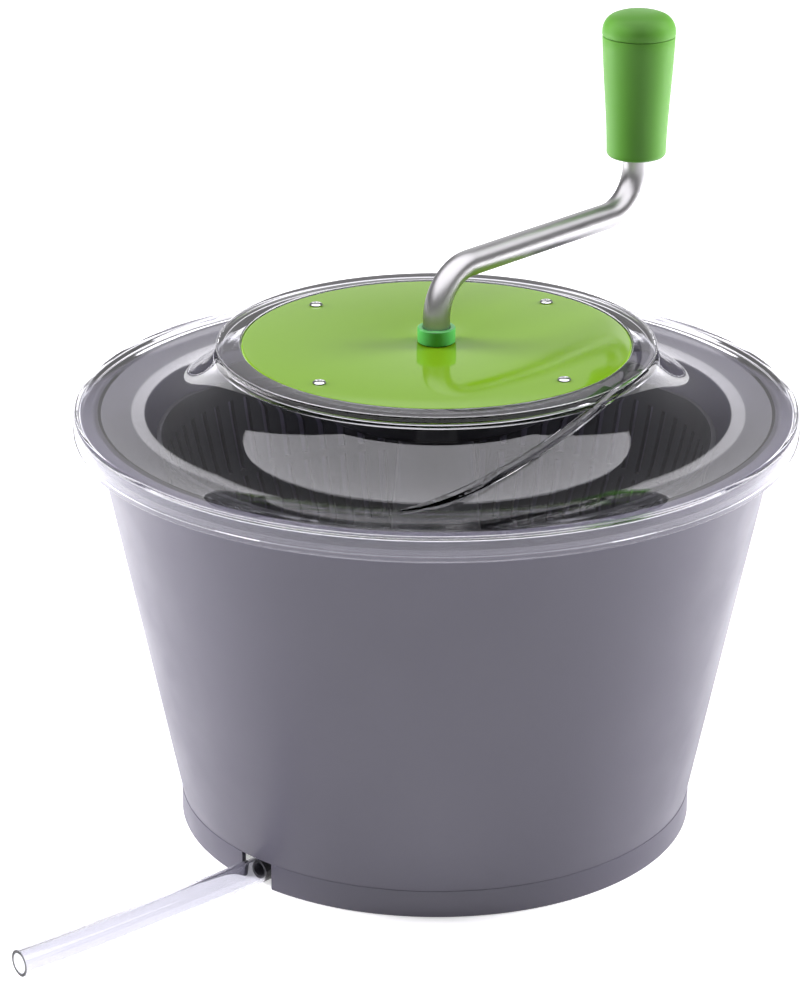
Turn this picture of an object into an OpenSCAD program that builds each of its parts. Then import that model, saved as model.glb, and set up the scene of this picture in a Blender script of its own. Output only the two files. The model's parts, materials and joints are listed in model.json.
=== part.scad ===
// Catering salad spinner: outer bowl with a drain hose, slotted basket on a centre column,
// clear lid with a planetary gearbox under its green cover, and a cranked handle.
// Origin: centre of the bowl's foot, on the table. +Z is up. Millimetres.

/* [Bowl] */
// Radius of the bowl's upright foot band
foot_r = 156; // [156:1:158]
// Height of the foot band
foot_h = 17; // [16:1:18]
// How much the bowl's radius grows for each millimetre of height
bowl_taper = 0.2; // [0.195:0.005:0.205]
// Wall thickness of the bowl
bowl_wall = 3; // [2.5:0.1:3]
// Height of the bowl's rim flange
bowl_rim_z = 259; // [258.6:0.1:259.2]
// Width of the hose notch in the foot band
notch_w = 24; // [20:1:30]

/* [Lid] */
// Outer radius of the lid
lid_r = 215; // [214.6:0.1:218]
// Height of the lid's lower edge
lid_skirt_z = 247; // [244:1:250]
// Height of the clear ring round the green cover
drum_z = 299.5; // [299.2:0.1:300]
// Radius of the drum's side just under its rounded edge
drum_r = 130; // [128:0.5:131]
// Thickness of the lid
lid_wall = 3; // [2.4:0.1:3.1]

/* [Cover] */
// Radius of the green cover
cover_r = 115; // [112:0.5:115.2]
// Radius of the circle that the cover screws stand on
cover_screw_r = 99; // [97:0.5:101]

/* [Crank] */
// Distance from the crank's shaft to the handle's axis
crank_reach = 182; // [150:1:185]
// Height of the level arm's axis
arm_z = 341; // [338:1:345]
// Diameter of the crank tube
tube_d = 16; // [15.8:0.1:16]
// Radius of the crank's two bends, at the tube's axis
bend_r = 28; // [24:1:30]
// Height of the handle's lower end
grip_z = 374; // [372:1:376]

/* [Gears] */
// Gear module
gear_m = 2; // [1.9:0.05:2]
// Play between meshing flanks, at the pitch circle
backlash = 0.3; // [0.2:0.05:0.4]
// Width of the gears
gear_w = 10; // [8:1:10]

/* [Basket] */
// Number of ribs round the basket
rib_count = 72; // [60:4:72]
// Width of the slots between the ribs
slot_w = 5; // [3:0.5:6]
// Wall thickness of the basket
basket_wall = 3; // [2.5:0.1:3.5]

/* [Hose] */
// Outer diameter of the drain hose
hose_d = 16; // [14:0.5:16]
// Inner diameter of the drain hose
hose_bore = 12; // [11.8:0.1:12]

/* [Hidden] */
$fn = 96;
tube_r = tube_d / 2;
eps = 0.01;

// Bowl
floor_z = 22;
floor_t = 3;
floor_top = floor_z + floor_t;
flange_r = 211;
flange_t = 4;
boss_r = 15;
boss_z = 33;
pin_r = 5;
pin_top = 62;
function wall_r(z) = foot_r + bowl_taper * (z - foot_h);

// Drain
drain_y = -120;
drain_hole_r = 8.2;
nipple_z = 8.5;
nipple_end_y = -154;
drain_flange_r = 15;
gasket_t = 1.5;
nut_af = 26;
nut_h = 5;
hose_route = [
    [0, -134, 8.5], [0, -142, 8.5], [-0.5, -152, 8.4], [-1.4, -163, 8.3],
    [-2.5, -175, 8.1], [-3.7, -187, 8], [-5, -200, 8], [-6.3, -213, 8],
    [-7.6, -226, 8], [-9, -240, 8], [-10.4, -254, 8], [-11.8, -268, 8],
    [-13.3, -282, 8], [-15, -296, 8], [-17.1, -310, 8], [-19.5, -324, 8]
];

// Lid
skirt_in_r = lid_r - lid_wall;
ledge_z = 296;
ledge_in_r = 90;
recess_r = cover_r + 0.4;

// Gearbox, from the top down
cover_t = 3;
case_cover_top = ledge_z - lid_wall;
case_cover_t = 4;
case_cover_z = case_cover_top - case_cover_t;
case_cover_r = 106;
case_r = 66;
case_wall = 3;
case_bottom = 259;
case_flange_r = 78;
case_flange_t = 3;
case_screw_r = 73;
carrier_z = 277;
carrier_t = 4;
carrier_r = 47;
carrier_hub_r = 14;
carrier_hub_top = 285.5;
carrier_pin_r = 1.5;
carrier_pin_z = 283.2;
gear_z = 265.5;
planet_pin_r = 3;
run_gap = 0.06;
sun_teeth = 18;
planet_teeth = 18;
ring_teeth = 54;
orbit_r = gear_m * (sun_teeth + planet_teeth) / 2;
first_planet = 90;
out_shaft_r = 5;
low_bush_r = 9;
shaft_bush_r = 12;

// Drive column and socket
driver_af = 16;
driver_z = 236;
driver_h = 15;
driver_pin_r = 1.5;
driver_pin_z = 246;
socket_r = 17;
socket_z = 232;
column_top = 246;
socket_gap = 0.3;

// Basket
basket_floor_z = 40;
basket_low_r = 130;
basket_top_r = 166;
basket_top_z = 242;
washer_t = 2;
hub_r = 12;
bush_r = 8;
column_foot_r = 44;
column_screw_r = 38;
column_foot_top = basket_floor_z + basket_wall + 3;

// Handle
grip_seam_z = 450;
grip_top_z = 465.3;
spindle_top = 441;
plug_z = 415;
plug_r = 6.5;
bolt_r = 4;
washer_z = grip_seam_z + 0.3;
bolt_head_z = washer_z + 1.5;

// ---------- shared shapes ----------

// A tube standing on z, outer radius r, bore radius b
module ring(r, b, z, h) {
    translate([0, 0, z]) difference() {
        cylinder(r = r, h = h);
        translate([0, 0, -1]) cylinder(r = b, h = h + 2);
    }
}

// Cutter for a pin hole along X, through whatever stands on the axis
module cross_hole(r, z) {
    translate([0, 0, z]) rotate([0, 90, 0]) cylinder(r = r, h = 60, center = true);
}

// Copies of the children on a circle
module around(count, r, first = 0) {
    for (i = [0 : count - 1])
        rotate([0, 0, first + i * 360 / count]) translate([r, 0, 0]) children();
}

// A hexagonal bar, by its width across flats
module hex_bar(af, z, h) {
    translate([0, 0, z]) cylinder(r = af / 2 / cos(30), h = h, $fn = 6);
}

// Points of a cubic curve through a and d, pulled by b and c
function bezier(a, b, c, d, n = 10) = [
    for (i = [0 : n]) let (t = i / n, s = 1 - t)
        s * s * s * a + 3 * s * s * t * b + 3 * s * t * t * c + t * t * t * d
];

// Points of an arc about [x, z]
function arc(x, z, r, from, to, n = 6) = [
    for (i = [0 : n]) let (a = from + (to - from) * i / n) [x + r * cos(a), z + r * sin(a)]
];

// Involute gear outline. shift widens (+) or thins (-) the tooth at the pitch circle
function involute(a) = tan(a) * 180 / PI - a;
function gear_points(teeth, add, ded, shift, steps = 5) =
    let (rp = gear_m * teeth / 2, rb = rp * cos(20), ra = rp + add, rf = rp - ded,
         low = max(rb, rf) + eps,
         half = 90 / teeth + shift / 2 / rp * 180 / PI)
    [for (i = [0 : teeth - 1], side = [-1, 1], k = [0 : steps])
        let (u = side < 0 ? k : steps - k,
             r = u == 0 ? rf : low + (ra - low) * (u - 1) / (steps - 1),
             q = u == 0 ? low : r,
             t = half + involute(20) - involute(acos(rb / q)),
             a = i * 360 / teeth + side * t)
        [r * cos(a), r * sin(a)]];

module spur_gear(teeth, bore, turn) {
    rotate([0, 0, turn]) difference() {
        linear_extrude(gear_w) polygon(gear_points(teeth, gear_m, 1.25 * gear_m, -backlash / 2));
        translate([0, 0, -1]) cylinder(r = bore, h = gear_w + 2);
    }
}

// Round-headed screw pointing down, its head resting on z
module pan_screw(head_r, head_h, shank_r, z, length) {
    translate([0, 0, z]) difference() {
        rotate_extrude() polygon(concat(
            [[0, -length], [shank_r, -length], [shank_r, 0], [head_r, 0]],
            [for (i = [1 : 6]) [head_r * cos(i * 15), head_h * sin(i * 15)]]
        ));
        for (a = [0, 90]) rotate([0, 0, a])
            translate([-head_r / 2, -0.35, head_h * 0.55]) cube([head_r, 0.7, head_h]);
    }
}

// ---------- bowl ----------

module bowl() {
    top_r = wall_r(bowl_rim_z);
    color([0.43, 0.42, 0.46]) difference() {
        union() {
            rotate_extrude() polygon([
                [foot_r - bowl_wall, 0], [foot_r, 0], [foot_r, foot_h],
                [top_r, bowl_rim_z - flange_t - 2], [top_r + 2, bowl_rim_z - flange_t],
                [flange_r, bowl_rim_z - flange_t], [flange_r, bowl_rim_z],
                [top_r - 1, bowl_rim_z], [top_r - bowl_wall, bowl_rim_z - 2],
                [wall_r(floor_top) - bowl_wall, floor_top + 4],
                [wall_r(floor_top) - bowl_wall - 4, floor_top],
                [0, floor_top], [0, floor_z], [foot_r - bowl_wall, floor_z]
            ]);
            cylinder_boss();
        }
        translate([0, 0, floor_z + 1]) cylinder(r = pin_r, h = boss_z);
        translate([0, drain_y, floor_z - 1]) cylinder(r = drain_hole_r, h = 10);
        translate([-notch_w / 2, -foot_r - 5, -1]) cube([notch_w, 20, foot_h + 1]);
    }
}

module cylinder_boss() {
    translate([0, 0, floor_top - 1]) cylinder(r = boss_r, h = boss_z - floor_top + 1);
}

module pivot_pin() {
    color("silver") rotate_extrude() polygon(concat(
        [[0, floor_z + 1], [pin_r, floor_z + 1], [pin_r, pin_top - 3]],
        [[pin_r - 2, pin_top], [0, pin_top]]
    ));
}

module drain_fitting() {
    flange_z = floor_top + gasket_t;
    color([0.2, 0.2, 0.22]) difference() {
        union() {
            translate([0, drain_y, 1.5]) cylinder(r = 8, h = flange_z);
            translate([0, drain_y, flange_z]) cylinder(r = drain_flange_r, h = 2);
            translate([0, drain_y, nipple_z]) rotate([90, 0, 0])
                cylinder(r = hose_bore / 2, h = drain_y - nipple_end_y);
        }
        translate([0, drain_y, nipple_z - 4]) cylinder(r = 5.5, h = 40);
        translate([0, drain_y, nipple_z]) rotate([90, 0, 0]) cylinder(r = 4.2, h = 60);
    }
}

module drain_gasket() {
    color([0.1, 0.1, 0.1]) translate([0, drain_y, 0])
        ring(drain_flange_r - 0.5, drain_hole_r, floor_top, gasket_t);
}

module drain_nut() {
    color([0.2, 0.2, 0.22]) translate([0, drain_y, 0]) difference() {
        hex_bar(nut_af, floor_z - nut_h, nut_h);
        translate([0, 0, floor_z - nut_h - 1]) cylinder(r = 8, h = nut_h + 2);
    }
}

// Round tube swept along the hose's route, its ends cut square
hose_sides = 12;
function turn_at(p, i) =
    let (d = p[min(i + 1, len(p) - 1)] - p[max(i - 1, 0)]) d / norm(d);
function ring_points(p, i, r) =
    let (d = turn_at(p, i), side = cross(d, [0, 0, 1]) / norm(cross(d, [0, 0, 1])),
         up = cross(side, d))
    [for (k = [0 : hose_sides - 1]) let (a = 360 * k / hose_sides)
        p[i] + r * (cos(a) * side + sin(a) * up)];

module drain_hose() {
    n = len(hose_route);
    points = [for (i = [0 : n - 1]) each ring_points(hose_route, i, hose_d / 2)];
    sides = [for (i = [0 : n - 2], k = [0 : hose_sides - 1])
        let (a = i * hose_sides + k, b = i * hose_sides + (k + 1) % hose_sides)
        [a, b, b + hose_sides, a + hose_sides]];
    first = [for (k = [hose_sides - 1 : -1 : 0]) k];
    last = [for (k = [0 : hose_sides - 1]) (n - 1) * hose_sides + k];
    color([0.85, 0.87, 0.92, 0.6]) polyhedron(points, concat([first], sides, [last]));
}

// ---------- basket ----------

module thrust_washer() {
    color("white") ring(boss_r - 2, pin_r + run_gap, boss_z, washer_t);
}

module basket() {
    base = boss_z + washer_t;
    color([0.13, 0.13, 0.14]) union() {
        difference() {
            rotate_extrude() polygon([
                [basket_low_r - 6, basket_floor_z], [basket_low_r, basket_floor_z],
                [basket_top_r, basket_top_z], [basket_top_r - basket_wall, basket_top_z],
                [basket_low_r - basket_wall, basket_floor_z + basket_wall],
                [basket_low_r - 6, basket_floor_z + basket_wall]
            ]);
            around(rib_count, basket_low_r - 16, 180 / rib_count)
                translate([0, -slot_w / 2, basket_floor_z + 12])
                    cube([70, slot_w, basket_top_z - basket_floor_z - 26]);
        }
        for (k = [1, 2]) basket_hoop(k / 3);
        basket_hoop(0.985);
        difference() {
            union() {
                ring(basket_low_r - 5, bush_r, basket_floor_z, basket_wall);
                ring(hub_r, bush_r, base, 30);
            }
            around(24, 92) translate([-30, -2.5, basket_floor_z - 1]) cube([60, 5, basket_wall + 2]);
            around(3, column_screw_r, 30) translate([0, 0, basket_floor_z - 1]) cylinder(r = 1.8, h = 6);
        }
    }
}

// Outer hoop at a fraction of the basket's height
module basket_hoop(part) {
    z = basket_floor_z + part * (basket_top_z - basket_floor_z);
    r = basket_low_r + part * (basket_top_r - basket_low_r);
    ring(r + 2, r - basket_wall, z - 3, 6);
}

module basket_bush() {
    color("white") ring(bush_r, pin_r + run_gap, boss_z + washer_t, 26);
}

module drive_column() {
    foot_z = basket_floor_z + basket_wall;
    color([0.13, 0.13, 0.14]) difference() {
        rotate_extrude() polygon([
            [hub_r + 0.2, foot_z], [column_foot_r, foot_z], [column_foot_r, column_foot_top],
            [column_foot_r - 8, column_foot_top + 3], [socket_r + 6, column_top - 16],
            [socket_r + 4, column_top], [socket_r, column_top], [socket_r, socket_z],
            [0, socket_z], [0, socket_z - 3], [socket_r + 2, socket_z - 3],
            [column_foot_r - 11, column_foot_top], [hub_r + 0.2, column_foot_top]
        ]);
        around(3, column_screw_r, 30) translate([0, 0, foot_z - 1]) cylinder(r = 1.8, h = 5);
    }
}

module column_screws() {
    color("silver") around(3, column_screw_r, 30) translate([0, 0, basket_floor_z]) mirror([0, 0, 1])
        pan_screw(3.6, 2, 1.8, 0, basket_wall + 3);
}

module drive_socket() {
    color("silver") difference() {
        translate([0, 0, socket_z]) cylinder(r = socket_r, h = column_top - socket_z);
        hex_bar(driver_af + 2 * socket_gap, socket_z - 1, 30);
    }
}

// ---------- lid ----------

// Upper surface from the bead in to the drum's top, lowered and drawn in by t for the lower one
function dish(t) = concat(
    bezier([202 - 0.8 * t, 261.8 - 0.9 * t], [190 - t / 2, 255 - t], [174, 252 - t],
        [160 - t / 3, 258 - t]),
    bezier([159.5 - t / 3, 258.3 - t], [146 - t, 265 - t / 2], [drum_r + 4 - t, 278], [drum_r - t, 294])
);

module lid() {
    t = lid_wall;
    color([0.86, 0.87, 0.92, 0.35]) difference() {
        rotate_extrude($fn = 144) polygon(concat(
            [[skirt_in_r, lid_skirt_z], [lid_r, lid_skirt_z]],
            arc(lid_r - 4.5, 258.5, 4.5, 0, 90),
            [[206, 262.4]],
            dish(0),
            arc(drum_r - 5, drum_z - 5, 5, 0, 90),
            [[recess_r + 0.8, drum_z], [recess_r, drum_z - 0.8], [recess_r, ledge_z],
             [ledge_in_r, ledge_z], [ledge_in_r, ledge_z - t], [drum_r - t - 2, ledge_z - t]],
            [for (i = [len(dish(t)) - 1 : -1 : 0]) dish(t)[i]],
            [[200.5, bowl_rim_z + 0.2], [skirt_in_r, bowl_rim_z + 0.2]]
        ));
        around(4, cover_screw_r) translate([0, 0, ledge_z - t - 1]) cylinder(r = 2.2, h = t + 2);
    }
}

module cover_plate() {
    color([0.48, 0.72, 0.24]) difference() {
        translate([0, 0, ledge_z]) cylinder(r = cover_r, h = cover_t);
        translate([0, 0, ledge_z - 1]) cylinder(r = tube_r + 1.5, h = cover_t + 2);
        around(4, cover_screw_r) translate([0, 0, ledge_z - 1]) cylinder(r = 2.2, h = cover_t + 2);
    }
}

module cover_screws() {
    color("silver") around(4, cover_screw_r)
        pan_screw(4, 1.9, 2.2, ledge_z + cover_t, cover_t + lid_wall + case_cover_t + 4);
}

module cover_nuts() {
    color("silver") around(4, cover_screw_r) difference() {
        hex_bar(7, case_cover_z - 3.2, 3.2);
        translate([0, 0, case_cover_z - 5]) cylinder(r = 2.2, h = 6);
    }
}

module gearcase_cover() {
    color([0.12, 0.12, 0.13]) difference() {
        translate([0, 0, case_cover_z]) cylinder(r = case_cover_r, h = case_cover_t);
        translate([0, 0, case_cover_z - 1]) cylinder(r = shaft_bush_r, h = case_cover_t + 2);
        around(4, cover_screw_r) translate([0, 0, case_cover_z - 1]) cylinder(r = 2.2, h = 6);
        around(6, case_screw_r, 15) translate([0, 0, case_cover_z - 1]) cylinder(r = 1.8, h = 4);
    }
}

module gearcase() {
    flange_z = case_cover_z - case_flange_t;
    color([0.12, 0.12, 0.13]) difference() {
        rotate_extrude() polygon([
            [low_bush_r, case_bottom - 5], [low_bush_r + 4, case_bottom - 5],
            [low_bush_r + 5, case_bottom], [case_r - 2, case_bottom], [case_r, case_bottom + 2],
            [case_r, flange_z - 2], [case_r + 2, flange_z], [case_flange_r, flange_z],
            [case_flange_r, case_cover_z], [case_r - case_wall, case_cover_z],
            [case_r - case_wall, case_bottom + case_wall], [low_bush_r, case_bottom + case_wall]
        ]);
        around(6, case_screw_r, 15) translate([0, 0, flange_z - 1]) cylinder(r = 1.8, h = 6);
    }
}

module gearcase_screws() {
    color("silver") around(6, case_screw_r, 15)
        translate([0, 0, case_cover_z - case_flange_t]) mirror([0, 0, 1])
            pan_screw(3.4, 1.8, 1.8, 0, case_flange_t + 3);
}

module ring_gear() {
    hole = gear_points(ring_teeth, 1.25 * gear_m, gear_m, backlash / 2, 4);
    pitch = 360 / ring_teeth;
    color("white") difference() {
        translate([0, 0, gear_z]) cylinder(r = case_r - case_wall, h = gear_w);
        translate([0, 0, gear_z - 1]) rotate([0, 0, first_planet + pitch / 2])
            linear_extrude(gear_w + 2) polygon(hole);
    }
}

module shaft_bush() {
    low = carrier_hub_top + 0.5;
    top = case_cover_top;
    color("white") difference() {
        union() {
            translate([0, 0, low]) cylinder(r = shaft_bush_r, h = top - low);
            translate([0, 0, top]) cylinder(r = shaft_bush_r + 3, h = 2);
        }
        translate([0, 0, low - 1]) cylinder(r = tube_r + run_gap, h = 20);
    }
}

module output_bush() {
    color("white") ring(low_bush_r, out_shaft_r + run_gap, case_bottom - 5, 9);
}

// ---------- crank ----------

module crank_arm() {
    color([0.75, 0.75, 0.76]) difference() {
        union() {
            translate([0, 0, carrier_z]) cylinder(r = tube_r, h = arm_z - bend_r - carrier_z);
            crank_bend();
            translate([0, bend_r, arm_z]) rotate([-90, 0, 0])
                cylinder(r = tube_r, h = crank_reach - 2 * bend_r);
            translate([0, crank_reach, 2 * arm_z]) mirror([0, 1, 0]) mirror([0, 0, 1]) crank_bend();
            translate([0, crank_reach, arm_z + bend_r])
                cylinder(r = tube_r, h = spindle_top - arm_z - bend_r);
        }
        translate([0, crank_reach, plug_z]) cylinder(r = plug_r, h = 40);
        cross_hole(carrier_pin_r, carrier_pin_z);
    }
}

// Quarter bend from upright, at the origin, to level, towards +Y
module crank_bend() {
    translate([0, bend_r, arm_z - bend_r]) rotate([90, 0, 90])
        rotate_extrude(angle = 90, start = 90) translate([bend_r, 0]) circle(r = tube_r, $fn = 48);
}

module crank_collar() {
    color([0.12, 0.47, 0.2]) ring(11.3, tube_r, ledge_z + cover_t + 0.4, 9);
}

module planet_carrier() {
    color([0.3, 0.3, 0.32]) difference() {
        union() {
            translate([0, 0, carrier_z]) cylinder(r = carrier_r, h = carrier_t);
            translate([0, 0, carrier_z]) cylinder(r = carrier_hub_r, h = carrier_hub_top - carrier_z);
        }
        translate([0, 0, carrier_z - 1]) cylinder(r = tube_r, h = 20);
        around(3, orbit_r, first_planet) translate([0, 0, carrier_z - 1])
            cylinder(r = planet_pin_r, h = 20);
        cross_hole(carrier_pin_r, carrier_pin_z);
    }
}

module carrier_pin() {
    color("silver") translate([0, 0, carrier_pin_z]) rotate([0, 90, 0])
        cylinder(r = carrier_pin_r, h = 2 * carrier_hub_r + 3, center = true);
}

module planet_pins() {
    color("silver") around(3, orbit_r, first_planet) translate([0, 0, gear_z - 2.2])
        cylinder(r = planet_pin_r, h = carrier_z + carrier_t - gear_z + 2.2);
}

module planet_clips() {
    color("silver") around(3, orbit_r, first_planet) difference() {
        translate([0, 0, gear_z - 1.6]) cylinder(r = 5, h = 1);
        translate([0, 0, gear_z - 2]) cylinder(r = planet_pin_r, h = 2);
        translate([0, -1.5, gear_z - 2]) cube([8, 3, 3]);
    }
}

module spindle_plug() {
    color("silver") translate([0, crank_reach, 0]) ring(plug_r, bolt_r, plug_z, spindle_top - plug_z);
}

module handle_bolt() {
    color("silver") translate([0, crank_reach, 0]) union() {
        translate([0, 0, plug_z + 3]) cylinder(r = bolt_r, h = bolt_head_z - plug_z - 2);
        hex_bar(13, bolt_head_z, 5);
    }
}

module handle_washer() {
    color("silver") translate([0, crank_reach, 0]) ring(11, bolt_r, washer_z, bolt_head_z - washer_z);
}

// ---------- gears and output ----------

module planet_gear(i) {
    angle = first_planet + i * 120;
    color("white") rotate([0, 0, angle]) translate([orbit_r, 0, gear_z])
        spur_gear(planet_teeth, planet_pin_r + run_gap, 180 / planet_teeth);
}

module sun_gear() {
    color("white") translate([0, 0, gear_z]) spur_gear(sun_teeth, out_shaft_r, first_planet);
}

module output_shaft() {
    color("silver") difference() {
        translate([0, 0, driver_z + 1]) cylinder(r = out_shaft_r, h = gear_z + 7 - driver_z);
        cross_hole(driver_pin_r, driver_pin_z);
    }
}

module shaft_clip() {
    color("silver") difference() {
        ring(8, out_shaft_r, case_bottom - 6.6, 1.2);
        translate([0, -2, case_bottom - 7]) cube([10, 4, 3]);
    }
}

module hex_driver() {
    color([0.3, 0.3, 0.32]) difference() {
        hex_bar(driver_af, driver_z, driver_h);
        translate([0, 0, driver_z + 1]) cylinder(r = out_shaft_r, h = 30);
        cross_hole(driver_pin_r, driver_pin_z);
    }
}

module driver_pin() {
    color("silver") translate([0, 0, driver_pin_z]) rotate([0, 90, 0])
        cylinder(r = driver_pin_r, h = driver_af - 1, center = true);
}

// ---------- handle ----------

module handle_grip() {
    bore = tube_r + run_gap;
    color([0.42, 0.7, 0.17]) translate([0, crank_reach, 0]) difference() {
        rotate_extrude() polygon(concat(
            [[0, grip_z]],
            arc(15.4, grip_z + 3, 3, -90, 0, 4),
            bezier([18.4, grip_z + 4], [18.7, 400], [21.2, 420], [22.4, grip_seam_z]),
            [[0, grip_seam_z]]
        ));
        translate([0, 0, grip_z - 1]) cylinder(r = bore, h = spindle_top + 0.3 - grip_z + 1);
        translate([0, 0, spindle_top - 5]) cylinder(r = bolt_r + 0.4, h = 30);
    }
}

module handle_cap() {
    color([0.42, 0.7, 0.17]) translate([0, crank_reach, 0]) difference() {
        rotate_extrude() polygon(concat(
            [[0, grip_seam_z], [22.4, grip_seam_z]],
            bezier([22.6, grip_seam_z + 1.5], [22.8, 455], [21.5, 459.2], [17.8, 461.8]),
            bezier([17.4, 462], [13, 464.4], [6, grip_top_z], [0, grip_top_z])
        ));
        translate([0, 0, grip_seam_z - 1]) cylinder(r = 13, h = 11);
    }
}

bowl();
pivot_pin();
drain_fitting();
drain_gasket();
drain_nut();
drain_hose();
thrust_washer();
basket();
basket_bush();
drive_column();
column_screws();
drive_socket();
lid();
cover_plate();
cover_screws();
cover_nuts();
gearcase_cover();
gearcase();
gearcase_screws();
ring_gear();
shaft_bush();
output_bush();
crank_arm();
crank_collar();
planet_carrier();
carrier_pin();
planet_pins();
planet_clips();
spindle_plug();
handle_bolt();
handle_washer();
planet_gear(0);  // planet_gear_1
planet_gear(1);  // planet_gear_2
planet_gear(2);  // planet_gear_3
sun_gear();
output_shaft();
shaft_clip();
hex_driver();
driver_pin();
handle_grip();
handle_cap();
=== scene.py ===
"""Catering salad spinner: clear lid, grey bowl, dark basket, cranked handle and drain hose."""

import json
from math import atan2, cos, hypot, pi, radians, sin

import bpy
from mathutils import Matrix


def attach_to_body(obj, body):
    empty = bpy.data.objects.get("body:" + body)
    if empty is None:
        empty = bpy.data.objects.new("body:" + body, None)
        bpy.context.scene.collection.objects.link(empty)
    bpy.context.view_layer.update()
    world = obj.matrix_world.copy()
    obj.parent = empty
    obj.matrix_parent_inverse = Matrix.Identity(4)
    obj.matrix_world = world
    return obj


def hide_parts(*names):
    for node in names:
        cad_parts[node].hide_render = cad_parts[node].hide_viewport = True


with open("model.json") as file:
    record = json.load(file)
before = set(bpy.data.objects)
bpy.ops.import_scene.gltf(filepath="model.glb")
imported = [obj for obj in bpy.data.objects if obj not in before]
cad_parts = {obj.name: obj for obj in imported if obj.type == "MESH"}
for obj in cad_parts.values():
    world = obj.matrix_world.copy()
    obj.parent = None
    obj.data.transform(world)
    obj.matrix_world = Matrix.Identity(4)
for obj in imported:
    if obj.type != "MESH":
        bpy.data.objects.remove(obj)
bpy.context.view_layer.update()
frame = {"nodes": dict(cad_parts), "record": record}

MM = 0.001

# ---------------------------------------------------------------- camera

CAMERA_AZIMUTH = radians(42.9)
CAMERA_ELEVATION = radians(21.55)
CAMERA_DISTANCE = 2.138
CAMERA_AIM = (-0.014, -0.013, 0.2034)
CAMERA_LENS = 159.0


def add_camera():
    """Puts the camera on its sphere round the aim point and turns it to look there."""
    reach = CAMERA_DISTANCE * cos(CAMERA_ELEVATION)
    place = (
        CAMERA_AIM[0] + reach * sin(CAMERA_AZIMUTH),
        CAMERA_AIM[1] - reach * cos(CAMERA_AZIMUTH),
        CAMERA_AIM[2] + CAMERA_DISTANCE * sin(CAMERA_ELEVATION),
    )
    bpy.ops.object.camera_add(
        location=place, rotation=(pi / 2 - CAMERA_ELEVATION, 0, CAMERA_AZIMUTH)
    )
    camera = bpy.context.active_object
    camera.name = "camera"
    camera.data.sensor_fit = "HORIZONTAL"
    camera.data.sensor_width = 36
    camera.data.lens = CAMERA_LENS
    camera.data.clip_start = 0.05
    bpy.context.scene.camera = camera


# ---------------------------------------------------------------- modelling tools


def begin(add, name, **how):
    """Adds one primitive, alone in the selection, and opens it in edit mode."""
    bpy.ops.object.select_all(action="DESELECT")
    add(**how)
    piece = bpy.context.active_object
    piece.name = name
    piece.data.name = name
    bpy.ops.object.transform_apply(location=True, rotation=True, scale=True)
    bpy.ops.object.mode_set(mode="EDIT")
    bpy.ops.mesh.select_mode(type="VERT")
    bpy.ops.mesh.select_all(action="SELECT")
    return piece


def end(piece, body, material, smooth=35):
    """Closes edit mode, applies the place, shades, paints and mounts the piece."""
    if bpy.context.mode != "OBJECT":
        bpy.ops.object.mode_set(mode="OBJECT")
    bpy.ops.object.select_all(action="DESELECT")
    piece.select_set(True)
    bpy.context.view_layer.objects.active = piece
    bpy.ops.object.transform_apply(location=True, rotation=True, scale=True)
    bpy.ops.object.shade_smooth_by_angle(angle=radians(smooth))
    piece.data.materials.clear()
    piece.data.materials.append(material)
    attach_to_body(piece, body)


def draw(outline, centre):
    """Draws an outline of (radius, height) points in millimetres, as edges in the XZ plane."""
    bpy.ops.mesh.merge(type="CENTER")
    spots = [(centre[0] + r * MM, centre[1], z * MM) for r, z in outline]
    for here, there in zip(spots, spots[1:]):
        step = [b - a for a, b in zip(here, there)]
        bpy.ops.mesh.extrude_region_move(TRANSFORM_OT_translate={"value": step})


def lathe(name, outline, steps, centre=(0, 0), closed=True):
    """A turned piece: the outline, spun once round the upright axis through centre."""
    if closed:
        outline = list(outline) + [outline[0]]
    first = (centre[0] + outline[0][0] * MM, centre[1], outline[0][1] * MM)
    piece = begin(bpy.ops.mesh.primitive_plane_add, name, size=0.001, location=first)
    draw(outline, centre)
    bpy.ops.mesh.select_all(action="SELECT")
    bpy.ops.mesh.remove_doubles(threshold=1e-6)
    bpy.ops.mesh.spin(
        steps=steps, angle=2 * pi, center=(centre[0], centre[1], 0), axis=(0, 0, 1)
    )
    bpy.ops.mesh.select_all(action="SELECT")
    bpy.ops.mesh.remove_doubles(threshold=2e-6)
    bpy.ops.mesh.normals_make_consistent(inside=False)
    return piece


def choose(piece, test):
    """Selects the faces whose centre, in millimetres, and normal pass the test."""
    bpy.ops.mesh.select_mode(type="FACE")
    bpy.ops.mesh.select_all(action="DESELECT")
    bpy.ops.object.mode_set(mode="OBJECT")
    for face in piece.data.polygons:
        face.select = test(face.center / MM, face.normal)
    bpy.ops.object.mode_set(mode="EDIT")


def repeat(count):
    """Copies what is selected round the upright axis, to count of them in all."""
    bpy.ops.mesh.spin(
        steps=count - 1, angle=2 * pi * (count - 1) / count, center=(0, 0, 0),
        axis=(0, 0, 1), dupli=True,
    )


def finish_with(piece, name, kind, **settings):
    """Adds a modifier, sets it and applies it."""
    bpy.ops.object.mode_set(mode="OBJECT")
    bpy.context.view_layer.objects.active = piece
    tool = piece.modifiers.new(name, kind)
    for setting, value in settings.items():
        setattr(tool, setting, value)
    bpy.ops.object.modifier_apply(modifier=name)


def arc(x, z, radius, start, stop, count):
    """Points of an arc about (x, z), from start to stop degrees."""
    turns = [radians(start + (stop - start) * i / count) for i in range(count + 1)]
    return [(x + radius * cos(t), z + radius * sin(t)) for t in turns]


def sweep(a, b, c, d, count):
    """Points of a cubic curve through a and d, pulled by b and c."""
    points = []
    for i in range(count + 1):
        t = i / count
        s = 1 - t
        mix = (s**3, 3 * s * s * t, 3 * s * t * t, t**3)
        points.append(tuple(sum(m * p[k] for m, p in zip(mix, (a, b, c, d))) for k in (0, 1)))
    return points


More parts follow.
